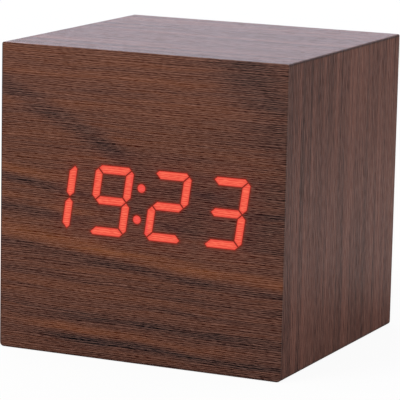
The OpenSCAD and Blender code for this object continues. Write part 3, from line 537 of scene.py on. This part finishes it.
# painted shade: the film is darkened along its left and lower edges
from_rim = calc(tree, "MINIMUM", calc(tree, "ADD", place["X"], HALF_W), place["Z"])
painted_edge_shade = calc(tree, "MULTIPLY", rise(tree, from_rim, 0.45, 0.15), 0.7)
colour = mix(tree, painted_edge_shade, colour, rgb(50, 33, 32))
light = add(tree, "ShaderNodeAttribute", attribute_name="glow").outputs["Fac"]
tree.links.new(mix(tree, light, colour, rgb(70, 22, 12)), shader.inputs["Base Color"])
halo = add(tree, "ShaderNodeAttribute", attribute_name="halo").outputs["Fac"]
stray = mix(tree, halo, (0, 0, 0, 1), rgb(46, 3, 0))
tree.links.new(mix(tree, light, stray, rgb(112, 24, 12)), shader.inputs["Emission Color"])
shader.inputs["Emission Strength"].default_value = 1.0
front_mesh.materials.append(walnut_film)
print("front film finish:", len(tree.nodes), "nodes")

# %% [markdown]
# ## The sleeve
# The top, sides and bottom are one board, grooved and folded, so the grain runs round the box without a
# break. The four boards keep their CAD meshes. The finish reads the board's normal to tell the top from the
# sides, so that the grain follows the fold: along X on the top and the bottom, along Z on the sides. This
# film is calmer than the front's: its lines are straight and coarser, and it keeps mostly to one hue. The
# back end and the inside aren't covered by film, and show the bare fibreboard.

# %% Group: bare fibreboard
fibre_group, fibre_in, fibre_out = new_group("bare_fibreboard", {"Grain": 1.0}, ["Color", "Height"])
fibre_place = use(fibre_group, place_group)


def fibres(scale, seed):
    """Cloudy noise with its scale per millimetre, shifted by a seed."""
    factor = calc(fibre_group, "MULTIPLY", fibre_in["Grain"], scale)
    x, y, z = (calc(fibre_group, "MULTIPLY", fibre_place[a], factor) for a in "XYZ")
    return noise(fibre_group, x, y, calc(fibre_group, "ADD", z, seed), 3.0, 0.6)


felt = calc(fibre_group, "MULTIPLY_ADD", fibres(4.0, 3.0), 0.6,
            calc(fibre_group, "MULTIPLY", fibres(0.8, 9.0), 0.4))
felt_tone = mix(fibre_group, rise(fibre_group, felt, 0.3, 0.7), rgb(112, 86, 60), rgb(168, 138, 102))
fibre_group.links.new(felt_tone, fibre_out["Color"])
fibre_group.links.new(felt, fibre_out["Height"])
print("group", fibre_group.name)

# %% Sleeve material
SLEEVE_BANDS = [  # strength, centre, slope, bend, width, start, end, fade
    (-0.04, -25.0, 0.01, 0.0, 4.5, -80, 80, 6),
    (0.19, -15.6, 0.01, 0.0, 4.5, -80, 80, 6),
    (-0.06, -4.0, -0.02, 0.0, 3.5, -80, 80, 6),
    (0.12, 7.5, -0.01, 0.0, 6.5, -80, 80, 6),
    (-0.04, 16.0, 0.015, 0.0, 4.0, -80, 80, 6),
    (0.07, 24.4, 0.0, 0.0, 3.0, -80, 80, 6),
]
tree, shader, walnut_board = finish_material("walnut_board", IOR=1.13)
place = use(tree, place_group)
facing = add(tree, "ShaderNodeSeparateXYZ", {0: add(tree, "ShaderNodeNewGeometry").outputs["Normal"]}).outputs
flat_side = rise(tree, calc(tree, "ABSOLUTE", facing["Z"]), 0.6, 0.8)
along = add(tree, "ShaderNodeMix", {0: flat_side, 2: place["Z"], 3: place["X"]}).outputs[0]
from_side = calc(tree, "SUBTRACT", HALF_W, calc(tree, "ABSOLUTE", place["X"]))
from_middle = calc(tree, "ABSOLUTE", calc(tree, "SUBTRACT", place["Z"], CASE_H / 2))
from_end = calc(tree, "SUBTRACT", CASE_H / 2, from_middle)
from_fold = calc(tree, "MAXIMUM", from_side, from_end)
colour = walnut(tree, shader, along, place["Y"], SLEEVE_BANDS, middle=0.64, contrast=2.2, relief=1.2,
                fineness=0.62, length=2.0, depth=0.08, wander=0.3, plain=0.9)
under_film = rise(tree, calc(tree, "MINIMUM", from_side, from_end), 0.25, 0.4)
bare_board = use(tree, fibre_group, Grain=1.0)
from_back = calc(tree, "SUBTRACT", HALF_D, place["Y"])
# darker along the folds and the back edge of the sides: darker film at the fold, deepened by painted shade
fold_film_and_shade = calc(tree, "MULTIPLY", rise(tree, calc(tree, "MINIMUM", from_fold, from_back), 0.7, 0.25),
              # where the rounded edge catches no reflection; the flat top and bottom are left out
              calc(tree, "MULTIPLY_ADD", flat_side, -0.85, 0.85))
with_fold_film_and_shade = mix(tree, fold_film_and_shade, mix(tree, 0.15, colour, rgb(98, 70, 66)), rgb(50, 23, 18))
tree.links.new(mix(tree, under_film, with_fold_film_and_shade, bare_board["Color"]), shader.inputs["Base Color"])
paint(["top_board", "right_board", "left_board", "bottom_board"], walnut_board)
print("sleeve finish:", len(tree.nodes), "nodes")

# %% Bare board material
tree, shader, fibreboard = finish_material("fibreboard", Roughness=0.85, IOR=1.4)
bare_board = use(tree, fibre_group, Grain=1.0)
tree.links.new(bare_board["Color"], shader.inputs["Base Color"])
bump(tree, shader, bare_board["Height"], 0.05)
paint(["front_board", "corner_blocks"], fibreboard)
print("bare board finish:", len(tree.nodes), "nodes")

# %% [markdown]
# ## The lit segments
# Seen through the film the light is orange-red and a little uneven, because the film's pores and grain lie
# over it. An area lamp behind a translucent film would be true to life, but slow and noisy. An emission
# colour that the grain darkens in thin streaks gives the same picture, and survives the export.

# %% Lit segment material
tree, shader, lit_segment = finish_material("lit_segment", Roughness=0.45, IOR=1.36, Emission_Strength=1.0,
                                            Base_Color=rgb(40, 10, 8))
place = use(tree, place_group)
grain = use(tree, grain_group, Along=place["X"], Across=place["Z"])
dots = rise(tree, calc(tree, "ABSOLUTE", place["X"]), 2.2, 1.8)
edge = add(tree, "ShaderNodeAttribute", attribute_name="edge").outputs["Fac"]
shine = mix(tree, dots, rgb(255, 108, 79), rgb(253, 84, 78))
dimmed = mix(tree, rise(tree, grain["Emboss"], 0.25, 0.8), shine, rgb(224, 62, 44))
tree.links.new(mix(tree, edge, dimmed, rgb(218, 60, 46)), shader.inputs["Emission Color"])
lit_strokes.data.materials.append(lit_segment)
print("lit segment finish:", len(tree.nodes), "nodes")

# %% [markdown]
# ## Moulded plastic
# The cover, the door and the buttons are injection-moulded, and the mould's fine spark texture gives them a
# matte, faintly mottled face. One group makes that texture at any size, as a tone, a roughness and a
# height, and each plastic sets its own colour and gloss.

# %% Group: moulded texture
mould_group, mould_in, mould_out = new_group(
    "moulded_texture", {"Colour": (0.5, 0.5, 0.5, 1.0), "Grain": 3.0, "Low": 0.4, "High": 0.55},
    ["Color", "Roughness", "Height"])
mould_place = use(mould_group, place_group)
grains = [calc(mould_group, "MULTIPLY", mould_place[a], mould_in["Grain"]) for a in "XYZ"]
spark = noise(mould_group, *grains, 3.0, 0.6)
flow = noise(mould_group, *(calc(mould_group, "MULTIPLY", mould_place[a], 0.12) for a in "XYZ"), 2.0)
tone = calc(mould_group, "MULTIPLY_ADD", spark, 0.5, calc(mould_group, "MULTIPLY", flow, 0.5))
lighter = mix(mould_group, 0.35, mould_in["Colour"], (1, 1, 1, 1), "SOFT_LIGHT")
mould_group.links.new(mix(mould_group, tone, mould_in["Colour"], lighter), mould_out["Color"])
mould_group.links.new(span(mould_group, tone, mould_in["Low"], mould_in["High"]), mould_out["Roughness"])
mould_group.links.new(spark, mould_out["Height"])
print("group", mould_group.name)


# %% Plastic finishes
def plastic(name, colour, low, high, grain, depth, node_names):
    """A moulded finish: colour, roughness range, grains per millimetre and relief depth."""
    tree, shader, material = finish_material(name)
    skin = use(tree, mould_group, Colour=colour, Grain=grain, Low=low, High=high)
    tree.links.new(skin["Color"], shader.inputs["Base Color"])
    tree.links.new(skin["Roughness"], shader.inputs["Roughness"])
    bump(tree, shader, skin["Height"], depth)
    paint(node_names, material)
    return material


black_plastic = plastic("black_plastic", rgb(44, 44, 46), 0.42, 0.62, 3.5, 0.03,
                        ["rear_cover", "battery_door"])
button_plastic = plastic("button_plastic", rgb(58, 58, 60), 0.3, 0.42, 5.0, 0.008,
                         ["set_button", "up_button", "down_button"])
plastic("dark_resin", rgb(48, 49, 52), 0.45, 0.6, 4.0, 0.012,
        ["clock_chip", "buzzer", "driver_transistors", "segment_resistors", "switch_housings",
         "power_jack"])
white_plastic = plastic("white_plastic", rgb(226, 221, 208), 0.35, 0.5, 4.0, 0.01,
                        ["board_spacers", "ribbon_header", "set_plunger", "up_plunger", "down_plunger"])
plastic("display_black", rgb(52, 53, 56), 0.5, 0.65, 4.0, 0.012, ["display_housing"])
plastic("segment_resin", rgb(224, 210, 200), 0.25, 0.4, 2.0, 0.006, ["display_segments"])
plastic("led_die", rgb(242, 196, 150), 0.2, 0.3, 6.0, 0.004, ["led_chips"])
plastic("bead", rgb(120, 72, 32), 0.2, 0.35, 2.0, 0.01, ["thermistor"])
plastic("capacitor_sleeve", rgb(44, 54, 84), 0.2, 0.35, 2.0, 0.008, ["capacitor"])
plastic("red_insulation", rgb(176, 46, 38), 0.4, 0.5, 3.0, 0.01, ["red_lead"])
plastic("black_insulation", rgb(40, 40, 42), 0.4, 0.5, 3.0, 0.01, ["black_lead"])
plastic("grey_insulation", rgb(140, 142, 146), 0.4, 0.5, 3.0, 0.01,
        ["microphone_lead", "ribbon_cable"])
print("plastics:", black_plastic.name, "and", button_plastic.name, "outside, the rest inside")

# %% [markdown]
# ## Metal
# Screws, contacts and cans are plated sheet and wire. Plain metal shaders look like chrome, so a shared
# group adds the fine scratches left by rolling and turning and a slight unevenness of the plating.

# %% Group: rolled metal
metal_group, metal_in, metal_out = new_group(
    "rolled_metal", {"Colour": (0.6, 0.6, 0.6, 1.0), "Low": 0.2, "High": 0.4},
    ["Color", "Roughness", "Height"])
metal_place = use(metal_group, place_group)
scratch = noise(metal_group, calc(metal_group, "MULTIPLY", metal_place["X"], 0.8),
                calc(metal_group, "MULTIPLY", metal_place["Y"], 6.0),
                calc(metal_group, "MULTIPLY", metal_place["Z"], 6.0), 3.0, 0.6)
plating = noise(metal_group, *(calc(metal_group, "MULTIPLY", metal_place[a], 0.7) for a in "XYZ"), 2.0)
metal_tone = calc(metal_group, "MULTIPLY_ADD", scratch, 0.5, calc(metal_group, "MULTIPLY", plating, 0.5))
duller = mix(metal_group, 0.5, metal_in["Colour"], (0.1, 0.1, 0.1, 1))
metal_group.links.new(mix(metal_group, metal_tone, duller, metal_in["Colour"]), metal_out["Color"])
metal_gloss = span(metal_group, metal_tone, metal_in["Low"], metal_in["High"])
metal_group.links.new(metal_gloss, metal_out["Roughness"])
metal_group.links.new(scratch, metal_out["Height"])
print("group", metal_group.name)


# %% Metal finishes
def metal(name, colour, low, high, node_names):
    """A plated finish: colour and roughness range."""
    tree, shader, material = finish_material(name, Metallic=1.0)
    sheet = use(tree, metal_group, Colour=colour, Low=low, High=high)
    tree.links.new(sheet["Color"], shader.inputs["Base Color"])
    tree.links.new(sheet["Roughness"], shader.inputs["Roughness"])
    bump(tree, shader, sheet["Height"], 0.006)
    paint(node_names, material)
    return material


steel = metal("steel", rgb(176, 178, 180), 0.3, 0.45, ["display_pins", "board_screws", "cover_screws",
                                                      "button_board_screws"])
nickel = metal("nickel", rgb(206, 204, 198), 0.18, 0.34, ["positive_contact", "negative_contact",
                                                         "left_link_contact", "right_link_contact"])
brass = metal("brass", rgb(204, 176, 108), 0.2, 0.35, ["power_jack_pin"])
bright_can = metal("bright_can", rgb(200, 202, 204), 0.25, 0.4, ["crystal_can", "microphone"])
print("metals:", steel.name, nickel.name, brass.name, bright_can.name)

# %% [markdown]
# ## Circuit boards and cells
# A circuit board is green lacquer over copper tracks, which show as slightly lighter lines with square
# turns. A cell has a printed sleeve with a contrasting end at its positive pole, and bare steel at both
# ends. The sleeve colours follow the cell's length, so one finish serves all three cells: the middle one
# lies the other way round.

# %% Circuit board material
tree, shader, circuit_board = finish_material("circuit_board", IOR=1.5)
place = use(tree, place_group)
flat_place = add(tree, "ShaderNodeCombineXYZ", {0: place["X"], 1: place["Z"]}).outputs[0]
tracks = add(tree, "ShaderNodeTexVoronoi", {"Vector": flat_place, "Scale": 0.45}, feature="DISTANCE_TO_EDGE",
             voronoi_dimensions="2D").outputs["Distance"]
track = rise(tree, tracks, 0.12, 0.06)
lacquer = noise(tree, calc(tree, "MULTIPLY", place["X"], 0.3), calc(tree, "MULTIPLY", place["Z"], 0.3), 0.0)
tree.links.new(mix(tree, track, mix(tree, lacquer, rgb(26, 78, 50), rgb(34, 92, 60)), rgb(58, 122, 84)),
               shader.inputs["Base Color"])
tree.links.new(span(tree, lacquer, 0.25, 0.4), shader.inputs["Roughness"])
bump(tree, shader, track, 0.03)
paint(["main_board", "button_board", "display_substrate"], circuit_board)
print("circuit board finish:", len(tree.nodes), "nodes")

# %% Cell material
tree, shader, cell_sleeve = finish_material("cell_sleeve", IOR=1.5)
place = use(tree, place_group)
MIDDLE_CELL_Z, CELL_REACH, CAP_FROM, LINE_FROM, STEEL_FROM, STEEL_BELOW = 29.7, 5.4, 12.0, 11.0, 22.6, -19.85
from_axis = calc(tree, "ABSOLUTE", calc(tree, "SUBTRACT", place["Z"], MIDDLE_CELL_Z))
turned = calc(tree, "LESS_THAN", from_axis, CELL_REACH)
length = calc(tree, "MULTIPLY", place["X"], calc(tree, "MULTIPLY_ADD", turned, -2.0, 1.0))
sheet = use(tree, metal_group, Colour=rgb(200, 198, 192), Low=0.2, High=0.35)
cap_end = rise(tree, length, CAP_FROM - 0.1, CAP_FROM)
thin_line = calc(tree, "MULTIPLY", rise(tree, length, LINE_FROM - 0.1, LINE_FROM),
                 rise(tree, length, CAP_FROM, CAP_FROM - 0.1))
printed = mix(tree, thin_line, mix(tree, cap_end, rgb(56, 74, 92), rgb(186, 120, 62)), rgb(214, 208, 196))
bare_end = calc(tree, "MAXIMUM", rise(tree, length, STEEL_FROM, STEEL_FROM + 0.05),
                rise(tree, length, STEEL_BELOW, STEEL_BELOW - 0.05))
tree.links.new(mix(tree, bare_end, printed, sheet["Color"]), shader.inputs["Base Color"])
tree.links.new(bare_end, shader.inputs["Metallic"])
tree.links.new(sheet["Roughness"], shader.inputs["Roughness"])
paint(["top_cell", "middle_cell", "bottom_cell"], cell_sleeve)
print("cell finish:", len(tree.nodes), "nodes")

# %% [markdown]
# ## Raised marks on the cover
# The buttons need signs: a ring for the setting key, and one triangle up and one down. On the real cover
# they are pale raised marks on the black. A colour mask in the shader could paint them, but real edges
# catch the light, so each outline is a small bevelled plate on the cover's face above its button.

# %% Key marks
key_at = {name: (np.array(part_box(name)[0]) + np.array(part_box(name)[1])) / 2 / MM
          for name in ("set_button", "up_button", "down_button")}
COVER_FACE_Y, MARK_Z, MARK_H, MARK_SINK, MARK_BEVEL = 28.6, 57.2, 0.16, 0.02, 0.05
RING_IN, RING_OUT, HALF_BASE, BASE_DROP, TIP_RISE = 0.55, 0.85, 0.85, 0.6, 0.75


def mark_plate(bm, outline):
    """A low plate with bevelled edges on the cover's face; outline in X and Z millimetres."""
    outline = np.array(outline)
    centre = outline.mean(axis=0)
    inner = centre + (outline - centre) * (1 - MARK_BEVEL / np.linalg.norm(outline - centre, axis=1).max())
    loops = [ring_at(bm, outline, COVER_FACE_Y - MARK_SINK),
             ring_at(bm, outline, COVER_FACE_Y + MARK_H - MARK_BEVEL),
             ring_at(bm, inner, COVER_FACE_Y + MARK_H)]
    for lower, upper in zip(loops, loops[1:]):
        wall(bm, lower, upper)
    bm.faces.new(loops[0])
    bm.faces.new(loops[-1])


marks = bmesh.new()
for name, sign in (("up_button", 1), ("down_button", -1)):
    x = key_at[name][0]
    base_z, tip_z = MARK_Z - BASE_DROP * sign, MARK_Z + TIP_RISE * sign
    mark_plate(marks, [(x - HALF_BASE, base_z), (x + HALF_BASE, base_z), (x, tip_z)])
ring_x = key_at["set_button"][0]
around = np.linspace(0, 2 * math.pi, 24, endpoint=False)
section = ((RING_IN, -MARK_SINK), (RING_OUT, -MARK_SINK),
           (RING_OUT, MARK_H - MARK_BEVEL), (RING_OUT - MARK_BEVEL, MARK_H),
           (RING_IN + MARK_BEVEL, MARK_H), (RING_IN, MARK_H - MARK_BEVEL))
circles = [ring_at(marks, [(ring_x + r * math.cos(t), MARK_Z + r * math.sin(t)) for t in around],
                   COVER_FACE_Y + y) for r, y in section]
for circle, following in zip(circles, circles[1:] + circles[:1]):
    wall(marks, circle, following)
key_marks = piece_from(marks, "key_marks")
key_marks.data.materials.append(white_plastic)
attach(key_marks, "case")
print("key marks:", len(key_marks.data.polygons), "faces")

# %% [markdown]
# ## Floor and light
# The clock stands in an even, bright studio. A white floor fills the view, and it stays white where the
# camera sees it, but still takes the box's soft shadow. Reflections see it as a pool of light that is dim
# against the box and far away, as a lit table is. One broad lamp high on the left gives the shape, a cool
# panel behind the box puts the pale sheen on its top, and the sky fills the rest at a plain level, so that
# the colours come out as written.


# %% White floor
def seen_rays(tree):
    """The light path's outputs, and 1 for the rays that the camera, a reflection or clear plastic sees."""
    path = add(tree, "ShaderNodeLightPath").outputs
    mirrored = calc(tree, "MAXIMUM", path["Is Glossy Ray"], path["Is Transmission Ray"])
    return path, calc(tree, "MAXIMUM", path["Is Camera Ray"], mirrored)


floor_mesh = bpy.data.meshes.new("floor")
FLOOR_HALF, FLOOR_Z = 4, -0.00005
corners = [(x * FLOOR_HALF, y * FLOOR_HALF, FLOOR_Z) for x, y in ((-1, -1), (1, -1), (1, 1), (-1, 1))]
floor_mesh.from_pydata(corners, [], [(0, 1, 2, 3)])
floor = bpy.data.objects.new("floor", floor_mesh)
bpy.context.scene.collection.objects.link(floor)
floor_material = bpy.data.materials.new("floor_white")
floor_material.use_nodes = True
tree = floor_material.node_tree
tree.nodes.remove(tree.nodes["Principled BSDF"])
matte = add(tree, "ShaderNodeBsdfDiffuse", {"Color": (0.9, 0.9, 0.9, 1)})
path, seen = seen_rays(tree)
spot = add(tree, "ShaderNodeTexCoord").outputs["Object"]
away = add(tree, "ShaderNodeVectorMath", {0: spot}, operation="LENGTH").outputs["Value"]
floor_place = add(tree, "ShaderNodeSeparateXYZ", {0: spot}).outputs
past_side = calc(tree, "SUBTRACT", calc(tree, "ABSOLUTE", floor_place["X"]), HALF_W * MM)
past_front = calc(tree, "SUBTRACT", calc(tree, "ABSOLUTE", floor_place["Y"]), HALF_D * MM)
from_box = calc(tree, "MAXIMUM", past_side, past_front)
pool = calc(tree, "MULTIPLY", span(tree, rise(tree, from_box, 0.0, 0.06), 0.2, 1.0),
            span(tree, rise(tree, away, 0.34, 0.2), 0.5, 1.0))
glare = add(tree, "ShaderNodeMix", {0: path["Is Glossy Ray"], 2: 1.0, 3: pool}).outputs[0]
white = add(tree, "ShaderNodeEmission", {"Color": (1, 1, 1, 1), "Strength": glare})
both = add(tree, "ShaderNodeMixShader",
           {0: calc(tree, "MULTIPLY", seen, 0.93), 1: matte.outputs[0], 2: white.outputs[0]})
tree.links.new(both.outputs[0], tree.nodes["Material Output"].inputs["Surface"])
floor_mesh.materials.append(floor_material)
print("floor", 2 * FLOOR_HALF, "m wide")


# %% Sky and lamps
def area_lamp(name, place, watts, shape, size, size_y=None):
    """An area lamp that faces the middle of the box."""
    data = bpy.data.lights.new(name, "AREA")
    data.shape, data.size, data.energy = shape, size, watts
    if size_y:
        data.size_y = size_y
    lamp = bpy.data.objects.new(name, data)
    lamp.location = place
    lamp.rotation_euler = (case_middle - place).to_track_quat("-Z", "Y").to_euler()
    bpy.context.scene.collection.objects.link(lamp)
    return data


world = bpy.data.worlds.new("studio")
bpy.context.scene.world = world
world.use_nodes = True
tree = world.node_tree
tree.nodes.clear()
_, seen = seen_rays(tree)
fill_light = add(tree, "ShaderNodeBackground", {"Color": (1, 1, 1, 1), "Strength": 0.7})
white = add(tree, "ShaderNodeBackground", {"Color": (1, 1, 1, 1), "Strength": 1.0})
both = add(tree, "ShaderNodeMixShader", {0: seen, 1: fill_light.outputs[0], 2: white.outputs[0]})
tree.links.new(both.outputs[0], add(tree, "ShaderNodeOutputWorld").inputs["Surface"])
key_lamp = area_lamp("key_lamp", Vector((-0.35, -0.6, 0.75)), 4.0, "DISK", 0.5)
behind = case_middle + 0.9 * Vector((-math.sin(AZIMUTH), math.cos(AZIMUTH), 0.32))
back_panel = area_lamp("back_panel", behind, 3.05, "RECTANGLE", 1.2, 0.5)
back_panel.color = rgb(218, 224, 255)[:3]
bpy.context.scene.view_settings.view_transform = "Standard"
print("light: sky, a lamp of", key_lamp.energy, "W and a panel of", round(back_panel.energy, 1), "W")
